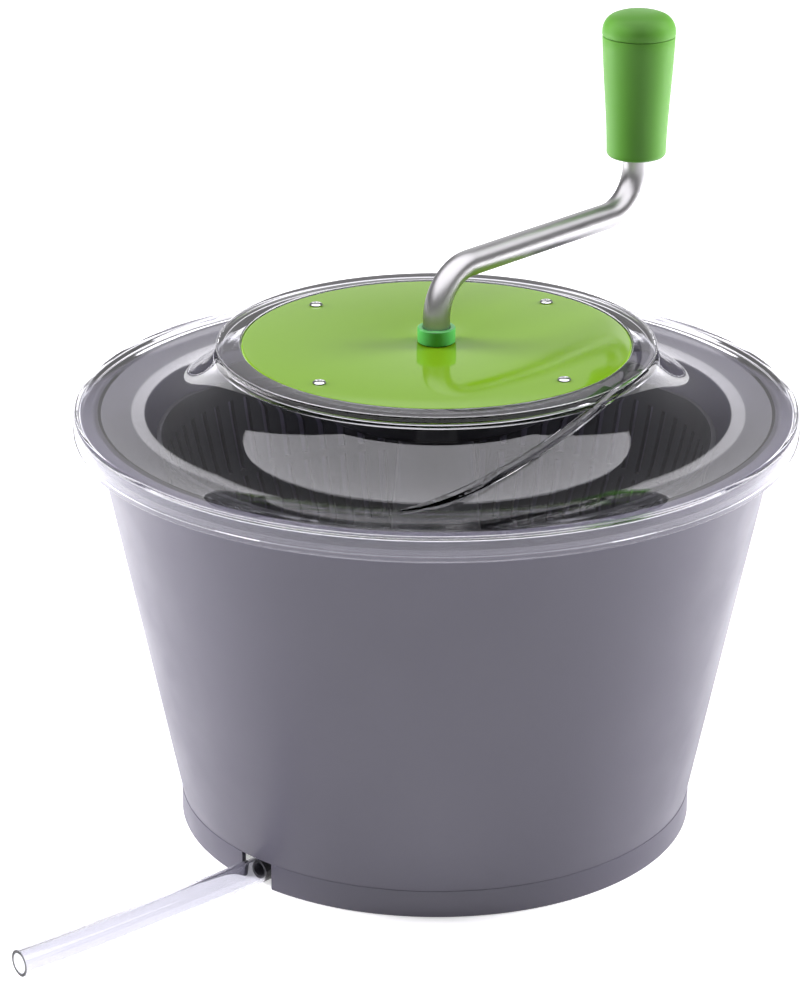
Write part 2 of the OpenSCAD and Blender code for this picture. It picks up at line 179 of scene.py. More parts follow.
def tube(route, radius, order, steps, facets, swell=None, capped=False):
    """A round tube along a smooth line near the route's points, made a mesh.

    swell gives the share of the radius at each point.
    """
    bpy.ops.object.select_all(action="DESELECT")
    bpy.ops.curve.primitive_nurbs_path_add(location=(0, 0, 0))
    piece = bpy.context.active_object
    spline = piece.data.splines[0]
    spline.points.add(len(route) - len(spline.points))
    for i, place in enumerate(route):
        spline.points[i].co = (*place, 1)
        if swell:
            spline.points[i].radius = swell[i]
    spline.use_endpoint_u = True
    spline.order_u = order
    spline.resolution_u = steps
    piece.data.bevel_depth = radius
    piece.data.bevel_resolution = facets
    piece.data.use_fill_caps = capped
    bpy.ops.object.convert(target="MESH")
    return piece


def inset(outline, depth):
    """The same open outline, moved to its right-hand side by depth, in reverse order."""
    moved = []
    for i, (r, z) in enumerate(outline):
        before = outline[max(i - 1, 0)]
        after = outline[min(i + 1, len(outline) - 1)]
        dr, dz = after[0] - before[0], after[1] - before[1]
        size = hypot(dr, dz)
        moved.append((r + depth * dz / size, z - depth * dr / size))
    return moved[::-1]


# ---------------------------------------------------------------- materials


def new_group(name, inputs, outputs):
    """An empty shader node group with named sockets."""
    group = bpy.data.node_groups.new(name, "ShaderNodeTree")
    for label, kind, value in inputs:
        socket = group.interface.new_socket(label, in_out="INPUT", socket_type=kind)
        socket.default_value = value
    for label, kind in outputs:
        group.interface.new_socket(label, in_out="OUTPUT", socket_type=kind)
    return group, group.nodes.new("NodeGroupInput"), group.nodes.new("NodeGroupOutput")


def attach(link, feed, socket):
    """Feeds a socket with another node's output, or with a plain value."""
    if isinstance(feed, bpy.types.NodeSocket):
        link(feed, socket)
    else:
        socket.default_value = feed


def maths(tree, operation, *feeds, vector=False):
    """The output of one maths node; each feed is a number, a triple or another output."""
    node = tree.nodes.new("ShaderNodeVectorMath" if vector else "ShaderNodeMath")
    node.operation = operation
    for feed, socket in zip(feeds, node.inputs):
        attach(tree.links.new, feed, socket)
    return node.outputs["Vector" if vector else "Value"]


def rescale(tree, feed, low, high, out_low=0.0):
    """The output of a node that maps low to high onto out_low to 1, and stops there."""
    node = tree.nodes.new("ShaderNodeMapRange")
    node.inputs["From Min"].default_value = low
    node.inputs["From Max"].default_value = high
    node.inputs["To Min"].default_value = out_low
    tree.links.new(feed, node.inputs["Value"])
    return node.outputs["Result"]


def noise(tree, place, scale, detail):
    """The output of a noise texture on the piece's own coordinates."""
    node = tree.nodes.new("ShaderNodeTexNoise")
    node.inputs["Detail"].default_value = detail
    tree.links.new(place, node.inputs["Vector"])
    attach(tree.links.new, scale, node.inputs["Scale"])
    return node.outputs["Fac"]


def bump(tree, height, distance, under=None):
    """The normal of a bump, on top of another normal if one is given."""
    node = tree.nodes.new("ShaderNodeBump")
    tree.links.new(height, node.inputs["Height"])
    tree.links.new(distance, node.inputs["Distance"])
    if under:
        tree.links.new(under, node.inputs["Normal"])
    return node.outputs["Normal"]


CLOUD_SCALE = 9
SMUDGE_SCALE = 26
WAVE_SCALE = 14
STREAK_SCALE = 60


def moulded_skin():
    """Moulded plastic: colour drift, uneven gloss from handling, fine grain and slow waviness."""
    group, given, out = new_group(
        "moulded_skin",
        [
            ("Colour", "NodeSocketColor", (0.5, 0.5, 0.5, 1)),
            ("Drift", "NodeSocketFloat", 0.1),
            ("Roughness", "NodeSocketFloat", 0.4),
            ("Unevenness", "NodeSocketFloat", 0.1),
            ("Grain Scale", "NodeSocketFloat", 900.0),
            ("Grain Height", "NodeSocketFloat", 0.00002),
            ("Wave Height", "NodeSocketFloat", 0.0002),
        ],
        [
            ("Colour", "NodeSocketColor"),
            ("Roughness", "NodeSocketFloat"),
            ("Normal", "NodeSocketVector"),
        ],
    )
    link, feed = group.links.new, given.outputs
    place = group.nodes.new("ShaderNodeTexCoord").outputs["Object"]

    swing = rescale(group, noise(group, place, CLOUD_SCALE, 3), 0, 1, out_low=-1)
    bright = maths(group, "ADD", maths(group, "MULTIPLY", swing, feed["Drift"]), 1)
    shade = group.nodes.new("ShaderNodeVectorMath")
    shade.operation = "SCALE"
    link(feed["Colour"], shade.inputs[0])
    link(bright, shade.inputs["Scale"])
    link(shade.outputs["Vector"], out.inputs["Colour"])

    smudge = rescale(group, noise(group, place, SMUDGE_SCALE, 6), 0.35, 0.7)
    dull = maths(group, "MULTIPLY_ADD", smudge, feed["Unevenness"], feed["Roughness"])
    link(dull, out.inputs["Roughness"])

    grain = bump(group, noise(group, place, feed["Grain Scale"], 2), feed["Grain Height"])
    wave = bump(group, noise(group, place, WAVE_SCALE, 0), feed["Wave Height"], grain)
    link(wave, out.inputs["Normal"])
    return group


def brushed_skin():
    """Satin metal: small pits and soft streaks that vary the gloss."""
    group, given, out = new_group(
        "brushed_skin",
        [
            ("Roughness", "NodeSocketFloat", 0.3),
            ("Unevenness", "NodeSocketFloat", 0.15),
            ("Grain Scale", "NodeSocketFloat", 700.0),
            ("Grain Height", "NodeSocketFloat", 0.00002),
        ],
        [("Roughness", "NodeSocketFloat"), ("Normal", "NodeSocketVector")],
    )
    link, feed = group.links.new, given.outputs
    place = group.nodes.new("ShaderNodeTexCoord").outputs["Object"]
    streak = noise(group, place, STREAK_SCALE, 5)
    dull = maths(group, "MULTIPLY_ADD", streak, feed["Unevenness"], feed["Roughness"])
    link(dull, out.inputs["Roughness"])
    pits = bump(group, noise(group, place, feed["Grain Scale"], 3), feed["Grain Height"])
    link(pits, out.inputs["Normal"])
    return group


def shader(name, **values):
    """A new material; values set the Principled shader's own sockets."""
    material = bpy.data.materials.new(name)
    material.use_nodes = True
    surface = material.node_tree.nodes["Principled BSDF"]
    for label, value in values.items():
        surface.inputs[label.replace("_", " ")].default_value = value
    return material, surface


def skinned(name, skin, settings, **values):
    """A material whose colour, gloss and normal come from a shared skin group."""
    material, surface = shader(name, **values)
    node = material.node_tree.nodes.new("ShaderNodeGroup")
    node.node_tree = skin
    for label, value in settings.items():
        node.inputs[label].default_value = value
    for output in node.outputs:
        target = "Base Color" if output.name == "Colour" else output.name
        material.node_tree.links.new(output, surface.inputs[target])
    return material


SKIN_WORDS = (
    "drift", "roughness", "unevenness", "grain_scale", "grain_height", "wave_height",
)


def plastic(name, skin, colour, **values):
    """Moulded plastic. The skin's words set the group, other values the shader."""
    settings = {"Colour": (*colour, 1)}
    for word in SKIN_WORDS:
        if word in values:
            settings[word.replace("_", " ").title()] = values.pop(word)
    return skinned(name, skin, settings, **values)


def metal(name, skin, colour, roughness, unevenness, height):
    """Metal from the shared satin group."""
    settings = {"Roughness": roughness, "Unevenness": unevenness, "Grain Height": height}
    return skinned(name, skin, settings, Base_Color=(*colour, 1), Metallic=1.0)


def clear(name, skin, colour, roughness, unevenness, **values):
    """Clear plastic: full transmission, with the skin group's gloss and waviness."""
    settings = {
        "Colour": (*colour, 1), "Drift": 0.01, "Roughness": roughness,
        "Unevenness": unevenness, "Grain Height": 0, "Wave Height": 0.00005,
    }
    return skinned(name, skin, settings, Transmission_Weight=1.0, **values)


def make_materials():
    """Every finish, by the record's slot names, and the handle's own green."""
    skin, satin = moulded_skin(), brushed_skin()
    return {
        "bowl_plastic": plastic(
            "bowl_grey", skin, (0.076, 0.0715, 0.097), drift=0.04, roughness=0.34,
            unevenness=0.08, grain_height=0.00003, wave_height=0.0003, IOR=1.49,
        ),
        "basket_plastic": plastic(
            "basket_black", skin, (0.018, 0.018, 0.021), drift=0.1, roughness=0.32,
            unevenness=0.12, grain_height=0.00003, wave_height=0.0002, IOR=1.49,
        ),
        "green_plastic": plastic(
            "gloss_green", skin, (0.146, 0.290, 0.008), drift=0.03, roughness=0.07,
            unevenness=0.05, grain_height=0.0, wave_height=0.00015, IOR=1.5,
            Specular_IOR_Level=0.21,
        ),
        "handle_green": plastic(
            "handle_green", skin, (0.082, 0.235, 0.030), drift=0.03, roughness=0.38,
            unevenness=0.08, grain_height=0.00001, wave_height=0.0001, IOR=1.45,
            Specular_IOR_Level=0.25,
        ),
        "dark_green_plastic": plastic(
            "collar_green", skin, (0.075, 0.370, 0.085), drift=0.05, roughness=0.18,
            unevenness=0.08, grain_height=0.00001, wave_height=0.0001, IOR=1.5,
        ),
        "black_plastic": plastic(
            "housing_black", skin, (0.014, 0.014, 0.016), drift=0.1, roughness=0.38,
            unevenness=0.12, grain_height=0.00004, wave_height=0.0002,
        ),
        "white_nylon": plastic(
            "natural_nylon", skin, (0.72, 0.70, 0.62), drift=0.05, roughness=0.35,
            unevenness=0.1, grain_height=0.00002, wave_height=0.0001,
            Subsurface_Weight=0.1, Subsurface_Scale=0.002,
        ),
        "rubber": plastic(
            "gasket_rubber", skin, (0.02, 0.02, 0.02), drift=0.1, roughness=0.7,
            unevenness=0.1, grain_height=0.00006, wave_height=0.0001,
        ),
        "satin_steel": metal(
            "crank_steel", satin, (0.42, 0.415, 0.42), 0.32, 0.10, 0.00003
        ),
        "steel": metal("bright_steel", satin, (0.72, 0.72, 0.73), 0.10, 0.1, 0.00001),
        "clear_plastic": clear(
            "clear_lid", skin, (0.94, 0.94, 0.975), 0.0, 0.02, IOR=1.50
        ),
        "clear_hose": clear(
            "clear_vinyl", skin, (0.75, 0.75, 0.79), 0.03, 0.05, IOR=1.47
        ),
    }


paint = {}


def paint_frame():
    """Gives every CAD node the finish of its slot."""
    for entry in frame["record"]["subparts"]:
        node = frame["nodes"][entry["node"]]
        node.data.materials.clear()
        node.data.materials.append(paint[entry["material_slot"]])


# ---------------------------------------------------------------- drain hose

HOSE_DIAMETER = 0.016
HOSE_WALL = 0.002
HOSE_ROUTE = [
    (0, -0.134, 0.0085), (0, -0.142, 0.0085), (-0.0005, -0.152, 0.0084),
    (-0.0014, -0.163, 0.0083), (-0.0025, -0.175, 0.0081), (-0.0037, -0.187, 0.008),
    (-0.005, -0.2, 0.008), (-0.0063, -0.213, 0.008), (-0.0076, -0.226, 0.008),
    (-0.009, -0.24, 0.008), (-0.0104, -0.254, 0.008), (-0.0118, -0.268, 0.008),
    (-0.0133, -0.282, 0.008), (-0.015, -0.296, 0.008), (-0.0171, -0.31, 0.008),
    (-0.0195, -0.324, 0.008),
]


def make_hose():
    """The clear drain hose: a tube along its middle line, then given its wall inwards."""
    hose = tube(HOSE_ROUTE, HOSE_DIAMETER / 2, order=3, steps=6, facets=10)
    hose.name = "clear_hose"
    wall = hose.modifiers.new("wall", "SOLIDIFY")
    wall.thickness = HOSE_WALL
    wall.offset = -1
    bpy.ops.object.modifier_apply(modifier="wall")
    hose.data.name = "clear_hose"
    end(hose, "bowl", paint["clear_hose"], smooth=50)
    hose.visible_shadow = False
    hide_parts("drain_hose")


# ---------------------------------------------------------------- bowl

FOOT_R = 156
FOOT_H = 17
BOWL_WALL = 3
TAPER = 0.2
FLOOR_Z = 22
FLOOR_TOP = 25
FLANGE_R = 211
RIM_Z = 259
FLANGE_LOW_Z = 252.8
NOTCH_W = 24
NOTCH_DEPTH = 16
BOSS_R = 15
BOSS_Z = 33
DRAIN_Y = -120
DRAIN_R = 8.2


def wall_r(z):
    """Outer radius of the bowl at a height."""
    return FOOT_R + TAPER * (z - FOOT_H)


def cut(piece, cutter, how="DIFFERENCE"):
    """Takes the cutter out of the piece, or joins it on, and deletes it."""
    bpy.ops.object.mode_set(mode="OBJECT")
    bpy.context.view_layer.objects.active = piece
    saw = piece.modifiers.new("cut", "BOOLEAN")
    saw.operation = how
    saw.solver = "EXACT"
    saw.object = cutter
    bpy.ops.object.modifier_apply(modifier="cut")
    bpy.ops.object.select_all(action="DESELECT")
    cutter.select_set(True)
    bpy.ops.object.delete()


def make_bowl():
    """The outer bowl, turned, with its hose notch and drain hole cut through."""
    top = wall_r(RIM_Z)
    outline = (
        [(FOOT_R - BOWL_WALL, 0.8), (FOOT_R - BOWL_WALL + 0.8, 0), (FOOT_R - 1, 0)]
        + arc(FOOT_R - 1.2, 1.2, 1.2, -60, 0, 4)
        + arc(FOOT_R - 0.25, FOOT_H - 0.25, 0.25, 0, 70, 3)
        + [(wall_r(FOOT_H) - 0.35, FOOT_H + 0.1)]
        + [(wall_r(z) - 0.3, z) for z in (30, 70, 120, 170, 220, 244)]
        + sweep((wall_r(246) - 0.3, 246), (wall_r(250), 250), (FLANGE_R - 6, FLANGE_LOW_Z),
                (FLANGE_R - 3, FLANGE_LOW_Z), 8)
        + arc(FLANGE_R - 1.2, FLANGE_LOW_Z + 1.2, 1.2, -90, 0, 4)
        + arc(FLANGE_R - 0.8, RIM_Z - 0.8, 0.8, 0, 90, 5)
        + arc(top + 0.5, RIM_Z - 2.5, 2.5, 90, 180, 6)
        + [(wall_r(z) - BOWL_WALL, z) for z in (240, 180, 120, 70, 44)]
        + arc(wall_r(FLOOR_TOP) - BOWL_WALL - 11.5, FLOOR_TOP + 12, 12, -8, -90, 8)
        + [(BOSS_R + 4, FLOOR_TOP)]
        + arc(BOSS_R + 3, FLOOR_TOP + 3, 3, -90, -180, 5)
        + arc(BOSS_R - 1, BOSS_Z - 1, 1, 0, 90, 4)
        + [(5, BOSS_Z), (5, FLOOR_Z + 1), (0, FLOOR_Z + 1), (0, FLOOR_Z)]
        + [(FOOT_R - BOWL_WALL - 2, FLOOR_Z)]
        + arc(FOOT_R - BOWL_WALL - 2, FLOOR_Z - 2, 2, 90, 0, 4)
    )
    bowl = lathe("bowl_shell", outline, steps=256)
    bpy.ops.object.mode_set(mode="OBJECT")
    notch = begin(
        bpy.ops.mesh.primitive_cube_add, "notch", size=1,
        location=(0, -(FOOT_R - 3) * MM, (FOOT_H - 10) / 2 * MM),
        scale=(NOTCH_W * MM, NOTCH_DEPTH * MM, (FOOT_H + 10) * MM),
    )
    cut(bowl, notch)
    drain = begin(
        bpy.ops.mesh.primitive_cylinder_add, "drain", vertices=48, radius=DRAIN_R * MM,
        depth=12 * MM, location=(0, DRAIN_Y * MM, FLOOR_TOP * MM),
    )
    cut(bowl, drain)
    end(bowl, "bowl", paint["bowl_plastic"], smooth=28)
    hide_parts("bowl")


# ---------------------------------------------------------------- basket

BASKET_LOW_R = 127
BASKET_TOP_R = 163
BASKET_FLOOR_Z = 43
BASKET_TOP_Z = 242
BASKET_WALL = 3
RIBS = 72
RIB_STEPS = 3
SLOT_LOW_Z = 52
SLOT_TOP_Z = 228
HOOP_HEIGHT = 6
HOOP_PROUD = 2
FLOOR_SLOTS = 24
FLOOR_SLOT_IN_R = 62
FLOOR_SLOT_OUT_R = 120
HUB_R = 12
HUB_TOP_Z = 65


def basket_r(z):
    """Inner radius of the basket at a height."""
    part = (z - BASKET_FLOOR_Z) / (BASKET_TOP_Z - BASKET_FLOOR_Z)
    return BASKET_LOW_R + part * (BASKET_TOP_R - BASKET_LOW_R)


def make_basket():
    """The basket: one skin turned from hub to rim, its slots opened, then given its wall."""
    steps = RIBS * RIB_STEPS
    rise = BASKET_TOP_Z - BASKET_FLOOR_Z
    hoops = [BASKET_FLOOR_Z + rise * part for part in (1 / 3, 2 / 3)]
    rim_low = BASKET_TOP_Z - HOOP_HEIGHT
    half = HOOP_HEIGHT / 2
    heights = [SLOT_LOW_Z]
    for hoop in hoops:
        heights += [hoop - half, hoop + half]
    heights += [SLOT_TOP_Z, rim_low, BASKET_TOP_Z]
    skin = (
        [(HUB_R, HUB_TOP_Z), (HUB_R, BASKET_FLOOR_Z), (44, BASKET_FLOOR_Z)]
        + [(FLOOR_SLOT_IN_R, BASKET_FLOOR_Z), (FLOOR_SLOT_OUT_R, BASKET_FLOOR_Z)]
        + arc(BASKET_LOW_R - 4.4, BASKET_FLOOR_Z + 5, 5, -90, -10, 4)
        + [(basket_r(z), z) for z in heights]
    )
    basket = lathe("rib_basket", skin, steps=steps, closed=False)
    bpy.ops.object.mode_set(mode="OBJECT")
    wall_face = next(f for f in basket.data.polygons if f.center.z > 0.2)
    inward = wall_face.normal.x * wall_face.center.x + wall_face.normal.y * wall_face.center.y < 0
    bpy.ops.object.mode_set(mode="EDIT")
    bpy.ops.mesh.select_all(action="SELECT")
    if inward:
        bpy.ops.mesh.flip_normals()

    def opening(centre, normal):
        turn = int(atan2(centre.y, centre.x) % (2 * pi) / (2 * pi) * steps)
        if centre.z < BASKET_FLOOR_Z + 0.5:
            out = hypot(centre.x, centre.y)
            slotted = turn % (steps // FLOOR_SLOTS) < 2
            return FLOOR_SLOT_IN_R < out < FLOOR_SLOT_OUT_R and slotted
        between = all(abs(centre.z - hoop) > half for hoop in hoops)
        return SLOT_LOW_Z < centre.z < SLOT_TOP_Z and between and turn % RIB_STEPS == 0

    choose(basket, opening)
    bpy.ops.mesh.delete(type="FACE")
    finish_with(
        basket, "wall", "SOLIDIFY", thickness=BASKET_WALL * MM, offset=1, use_even_offset=True
    )
    bpy.ops.object.mode_set(mode="EDIT")

    def on_hoop(centre, normal):
        level = any(abs(centre.z - hoop) < half for hoop in hoops) or centre.z > rim_low
        facing = normal.x * centre.x + normal.y * centre.y > 0.5 * hypot(centre.x, centre.y)
        return level and facing and hypot(centre.x, centre.y) > basket_r(centre.z) + 2

    choose(basket, on_hoop)
    bpy.ops.mesh.extrude_region_shrink_fatten(
        TRANSFORM_OT_shrink_fatten={"value": -HOOP_PROUD * MM}
    )
    finish_with(
        basket, "soft edges", "BEVEL", width=0.45 * MM, segments=1, limit_method="ANGLE",
        angle_limit=radians(50), use_clamp_overlap=True,
    )
    end(basket, "basket", paint["basket_plastic"])
    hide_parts("basket")


# ---------------------------------------------------------------- lid

LID_R = 215
LID_SKIRT_Z = 247
LID_WALL = 3
DRUM_R = 130
DRUM_Z = 299.5
LEDGE_Z = 296
LEDGE_IN_R = 90
COVER_R = 115
COVER_THICKNESS = 3
COVER_GAP = 0.4
SCREW_CIRCLE_R = 99
RIDGE_LINE = ((36, 172.5), (50, 157), (58, 127), (112, 129.7))
RIDGE_R = 3.2
RIDGE_TIP = 0.25
RIDGE_SWELL = 4


def dish_outline():
    """Upper face of the lid, from the rim in across the land and up the flare."""
    low = sweep((LID_R - 2.6, 262.1), (200, 261.8), (180, 255.6), (160, 263.4), 28)
    flare = sweep((160, 263.4), (150, 267.2), (DRUM_R + 3.5, 277), (DRUM_R, 298), 22)
    return low + flare[1:]


def add_ridge(lid, dish):
    """Joins the curved ridge to the lid: it climbs the flare from the land to the drum.

    Its line is given in (degrees from the hose's side, radius) and follows the lid's height.
    """
    bpy.ops.object.mode_set(mode="OBJECT")
    line = sweep(*RIDGE_LINE, 24)
    route, swell = [], []
    for i, (turn, radius) in enumerate(line):
        level = max(radius, DRUM_R)
        outer, inner = next(
            pair for pair in zip(dish, dish[1:]) if pair[1][0] <= level <= pair[0][0]
        )
        part = (outer[0] - level) / (outer[0] - inner[0])
        height = outer[1] + part * (inner[1] - outer[1])
        angle = radians(turn)
        route.append((radius * sin(angle) * MM, -radius * cos(angle) * MM, height * MM))
        nearest_end = min(i, len(line) - i) / len(line)
        swell.append(min(1, RIDGE_TIP + RIDGE_SWELL * nearest_end))
    ridge = tube(route, RIDGE_R * MM, order=4, steps=3, facets=3, swell=swell, capped=True)
    cut(lid, ridge, "UNION")


def make_lid():
    """The clear lid: skirt, beaded rim, dish, flare, drum, ridge and the cover's recess."""
    dish = dish_outline()
    under = [p for p in inset(dish, -LID_WALL) if p[1] < LEDGE_Z - LID_WALL and p[0] < 200]
    recess = COVER_R + COVER_GAP
    outline = (
        [(LID_R - LID_WALL, LID_SKIRT_Z + 0.8)]
        + arc(LID_R - LID_WALL + 0.8, LID_SKIRT_Z + 0.8, 0.8, 180, 270, 4)
        + arc(LID_R - 0.9, LID_SKIRT_Z + 0.9, 0.9, -90, 0, 4)
        + arc(LID_R - 0.6, LID_SKIRT_Z + 3, 0.6, -30, 30, 3)
        + [(LID_R - 0.6, LID_SKIRT_Z + 3.6), (LID_R - 0.6, 257)]
        + arc(LID_R - 2.6, 260.1, 2, -10, 80, 9)
        + dish
        + arc(DRUM_R - 1.2, DRUM_Z - 1.2, 1.2, 8, 90, 6)
        + arc(recess + 1, DRUM_Z - 1, 1, 90, 180, 5)
        + [(recess, LEDGE_Z), (LEDGE_IN_R, LEDGE_Z), (LEDGE_IN_R, LEDGE_Z - LID_WALL)]
        + [(DRUM_R - LID_WALL - 3, LEDGE_Z - LID_WALL)]
        + under
        + [(200.4, RIM_Z + 0.2), (LID_R - LID_WALL - 1, RIM_Z + 0.2)]
        + arc(LID_R - LID_WALL - 1, RIM_Z - 0.8, 1, 90, 0, 4)
    )
    lid = lathe("clear_lid", outline, steps=256)
    add_ridge(lid, dish)
    end(lid, "lid", paint["clear_plastic"], smooth=32)
    lid.visible_shadow = False
    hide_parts("lid")


def make_cover():
    """The glossy green cover, rounded at its rim and at its middle hole."""
    low, high = LEDGE_Z, LEDGE_Z + COVER_THICKNESS
    outline = (
        [(9.5, low), (COVER_R - 0.6, low)]
        + arc(COVER_R - 1.2, high - 1.2, 1.2, 0, 90, 6)
        + arc(10.1, high - 0.6, 0.6, 90, 180, 4)
    )
    cover = lathe("green_cover", outline, steps=192)
    end(cover, "lid", paint["green_plastic"])
    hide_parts("cover_plate")


SCREW_HEAD_R = 4
SCREW_HEAD_H = 1.9
SCREW_R = 2.2
SCREW_LENGTH = 14


def make_cover_screws():
    """Four domed screws with cross recesses, the first modelled and the others copied."""
    seat = LEDGE_Z + COVER_THICKNESS
    crown = sweep(
        (SCREW_HEAD_R, seat + 0.25), (SCREW_HEAD_R, seat + 1.3), (2.6, seat + SCREW_HEAD_H),
        (0, seat + SCREW_HEAD_H), 10,
    )
    screw = lathe(
        "cover_screw_set",
        [(0, seat - SCREW_LENGTH), (SCREW_R - 0.5, seat - SCREW_LENGTH)]
        + [(SCREW_R, seat - SCREW_LENGTH + 0.5), (SCREW_R, seat), (SCREW_HEAD_R - 0.2, seat)]
        + crown,
        steps=40, centre=(SCREW_CIRCLE_R * MM, 0), closed=False,
    )
    bpy.ops.object.mode_set(mode="OBJECT")
    for quarter in (20, 110):
        blade = begin(
            bpy.ops.mesh.primitive_cube_add, "blade", size=1,
            location=(SCREW_CIRCLE_R * MM, 0, (seat + SCREW_HEAD_H) * MM),
            rotation=(0, 0, radians(quarter)), scale=(4.4 * MM, 1.1 * MM, 2.2 * MM),
        )
        choose(blade, lambda centre, normal: normal.z < -0.5)
        bpy.ops.transform.resize(
            value=(0.5, 0.5, 1), center_override=(SCREW_CIRCLE_R * MM, 0, seat * MM)
        )
        cut(screw, blade)
    bpy.context.view_layer.objects.active = screw
    screw.select_set(True)
    bpy.ops.object.mode_set(mode="EDIT")
    bpy.ops.mesh.select_all(action="SELECT")
    repeat(4)
    end(screw, "lid", paint["steel"])
    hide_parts("cover_screws")


def make_collar():
    """The dark green collar at the crank's foot."""
    low, high = LEDGE_Z + 3.4, LEDGE_Z + 12.4
    outline = (
        [(8.02, low), (10.7, low)]
        + arc(10.7, low + 0.6, 0.6, -90, 0, 3)
        + arc(10.5, high - 0.8, 0.8, 0, 90, 5)
        + [(8.6, high), (8.02, high - 0.5)]
    )
    collar = lathe("crank_foot_collar", outline, steps=64)
    end(collar, "crank", paint["dark_green_plastic"])
    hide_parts("crank_collar")


# ---------------------------------------------------------------- crank and handle

REACH = 182
ARM_Z = 341
TUBE_R = 8
BEND_R = 28
SHAFT_LOW_Z = 277
SPINDLE_TOP_Z = 441
GRIP_Z = 374
SEAM_Z = 450
CAP_TOP_Z = 465.3


def make_crank():
    """The crank tube: a circle drawn up, bent to level, drawn out, bent up and drawn up."""
    crank = begin(
        bpy.ops.mesh.primitive_circle_add, "crank_tube", vertices=48, radius=TUBE_R * MM,
        location=(0, 0, SHAFT_LOW_Z * MM), fill_type="NGON",
    )

    def pull(x, y, z):
        bpy.ops.mesh.extrude_region_move(
            TRANSFORM_OT_translate={"value": (x * MM, y * MM, z * MM)}
        )

    def bend(y, z, turn):
        bpy.ops.mesh.spin(
            steps=18, angle=radians(turn), center=(0, y * MM, z * MM), axis=(1, 0, 0)
        )

    pull(0, 0, ARM_Z - BEND_R - SHAFT_LOW_Z)
    bend(BEND_R, ARM_Z - BEND_R, 90)
    pull(0, REACH - 2 * BEND_R, 0)
    bend(REACH - BEND_R, ARM_Z + BEND_R, -90)
    pull(0, 0, SPINDLE_TOP_Z - ARM_Z - BEND_R)
    bpy.ops.mesh.select_all(action="SELECT")
    bpy.ops.mesh.remove_doubles(threshold=1e-6)
    bpy.ops.mesh.normals_make_consistent(inside=False)
    end(crank, "crank", paint["satin_steel"], smooth=40)
    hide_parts("crank_arm")


def make_handle():
    """The tapered grip and its domed cap, a fine seam between them."""
    grip_side = sweep((18.4, GRIP_Z + 4), (18.7, 400), (21.2, 420), (22.35, SEAM_Z - 0.6), 14)
    grip = lathe(
        "green_grip",
        [(8.06, GRIP_Z + 0.6), (8.7, GRIP_Z)]
        + arc(15.4, GRIP_Z + 3, 3, -90, 0, 8)
        + grip_side
        + arc(21.8, SEAM_Z - 0.5, 0.5, 0, 90, 3)
        + [(4.4, SEAM_Z), (4.4, SPINDLE_TOP_Z + 0.3), (8.06, SPINDLE_TOP_Z + 0.3)],
        steps=96, centre=(0, REACH * MM),
    )
    end(grip, "grip", paint["handle_green"])
    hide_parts("handle_grip")
    dome = sweep((22.5, SEAM_Z + 1.2), (22.8, 455), (21.5, 459.2), (17.8, 461.8), 10)
    crown = sweep((17.8, 461.8), (13.4, 464.4), (7, CAP_TOP_Z), (0, CAP_TOP_Z), 10)
    cap = lathe(
        "green_cap",
        [(13, SEAM_Z + 0.3), (21.9, SEAM_Z + 0.3)]
        + arc(21.95, SEAM_Z + 0.8, 0.5, -90, 0, 3)
        + dome
        + crown[1:]
        + [(0, SEAM_Z + 10), (13, SEAM_Z + 10)],
        steps=96, centre=(0, REACH * MM),
    )
    end(cap, "grip", paint["handle_green"])
    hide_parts("handle_cap")


# ---------------------------------------------------------------- stage

TINT = (0.975, 0.96, 1.0)
FLOOR_SIZE = 60
GLOW_START, GLOW_END = 1.0, 4.0
SURROUND_STRENGTH = 0.9
BACKDROP_STRENGTH = 1.1
# The panel ends where its measure across, or its measure up, reaches 1.
PANEL_HALF_WIDTH = 0.17
PANEL_RISE = 3.9
PANEL_DROP = -1.15


def add_softbox(name, place, aim, width, height, power):
    """A rectangular area light at place, facing aim."""
    bpy.ops.object.light_add(type="AREA", location=place)
    lamp = bpy.context.active_object
    lamp.name = name
    lamp.data.shape = "RECTANGLE"
    lamp.data.size = width
    lamp.data.size_y = height
    lamp.data.energy = power
    lamp.data.color = TINT
    away = [a - b for a, b in zip(place, aim)]
    lamp.rotation_euler = (
        atan2(hypot(away[0], away[1]), away[2]), 0, atan2(away[0], -away[1]),
    )
    return lamp


def toward_camera(side, depth, height):
    """A place given to the camera's right, towards it and up, in metres."""
    c, s = cos(CAMERA_AZIMUTH), sin(CAMERA_AZIMUTH)
    return (side * c + depth * s, side * s - depth * c, height)


def ramp(tree, label, feed, stops):
    """The output of a ramp of greys from (position, level) stops."""
    node = tree.nodes.new("ShaderNodeValToRGB")
    node.label = label
    band = node.color_ramp
    while len(band.elements) < len(stops):
        band.elements.new(0.5)
    for mark, (place, level) in zip(band.elements, stops):
        mark.position = place
        mark.color = (level, level, level, 1)
    tree.links.new(feed, node.inputs["Fac"])
    return node.outputs["Color"]


def background(tree, colour, strength):
    """The output of a background of one colour or colour pattern."""
    node = tree.nodes.new("ShaderNodeBackground")
    attach(tree.links.new, colour, node.inputs["Color"])
    node.inputs["Strength"].default_value = strength
    return node.outputs["Background"]


def either(tree, which, no, yes):
    """The output of a mix: one shader where which is 0, the other where it is 1."""
    node = tree.nodes.new("ShaderNodeMixShader")
    for feed, socket in zip((which, no, yes), node.inputs):
        tree.links.new(feed, socket)
    return node.outputs["Shader"]


